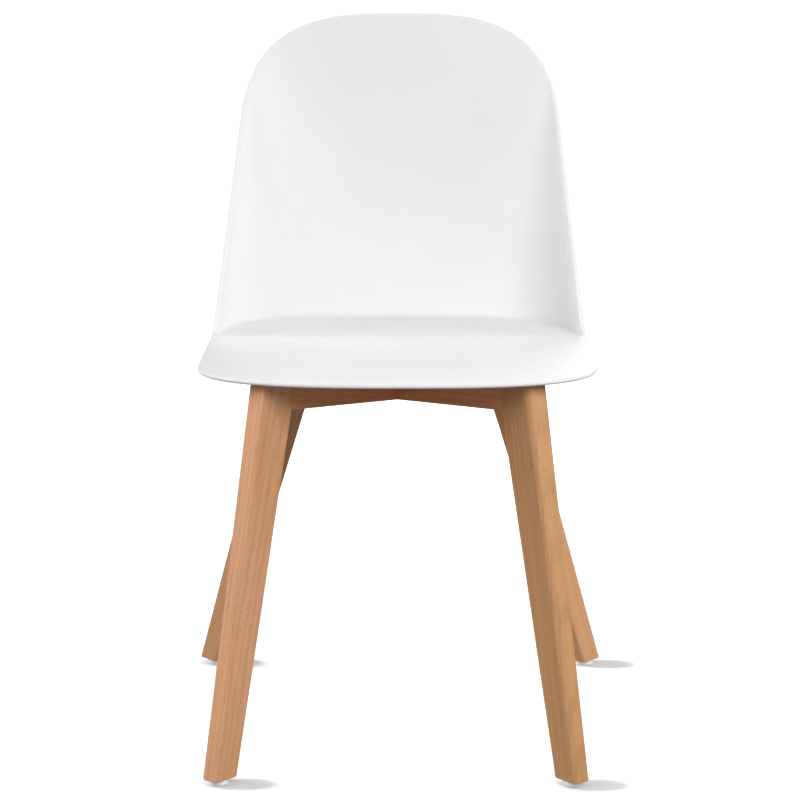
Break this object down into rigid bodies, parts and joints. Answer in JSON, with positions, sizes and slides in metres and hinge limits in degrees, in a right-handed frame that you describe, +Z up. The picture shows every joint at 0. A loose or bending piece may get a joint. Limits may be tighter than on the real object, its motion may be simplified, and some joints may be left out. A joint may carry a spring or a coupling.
{
  "type": "dining chair",
  "caption": "Dining chair with a one-piece moulded shell for seat and back on crossed rails and tapered, splayed wooden legs with round glides.",
  "frame": {"origin": "on the floor, below the middle of the whole chair's bounding box", "axes": "+Z up, -Y towards the front edge of the seat, +X to the right as seen from the front"},
  "size_m": [0.5132, 0.512, 0.8285],
  "materials": {
    "shell_plastic": "white moulded polypropylene with a fine satin grain",
    "beech_legs": "steamed beech under a thin satin lacquer",
    "beech_rails": "steamed beech under a thin satin lacquer",
    "dowel_wood": "plain beech, unlacquered",
    "nylon": "pale grey-white nylon",
    "steel": "zinc-plated steel",
    "brass": "plain turned brass"
  },
  "bodies": {
    "root": {"seat_shell": "shell_plastic", "rail_lower": "beech_rails", "rail_upper": "beech_rails", "leg_front_right": "beech_legs", "dowel_front_right_upper": "dowel_wood", "dowel_front_right_lower": "dowel_wood", "glide_front_right": "nylon", "glide_nail_front_right": "steel", "seat_bolt_front_right": "steel", "spring_washer_front_right": "steel", "flat_washer_front_right": "steel", "threaded_insert_front_right": "brass", "leg_back_right": "beech_legs", "dowel_back_right_upper": "dowel_wood", "dowel_back_right_lower": "dowel_wood", "glide_back_right": "nylon", "glide_nail_back_right": "steel", "seat_bolt_back_right": "steel", "spring_washer_back_right": "steel", "flat_washer_back_right": "steel", "threaded_insert_back_right": "brass", "leg_back_left": "beech_legs", "dowel_back_left_upper": "dowel_wood", "dowel_back_left_lower": "dowel_wood", "glide_back_left": "nylon", "glide_nail_back_left": "steel", "seat_bolt_back_left": "steel", "spring_washer_back_left": "steel", "flat_washer_back_left": "steel", "threaded_insert_back_left": "brass", "leg_front_left": "beech_legs", "dowel_front_left_upper": "dowel_wood", "dowel_front_left_lower": "dowel_wood", "glide_front_left": "nylon", "glide_nail_front_left": "steel", "seat_bolt_front_left": "steel", "spring_washer_front_left": "steel", "flat_washer_front_left": "steel", "threaded_insert_front_left": "brass"}
  },
  "joints": []
}
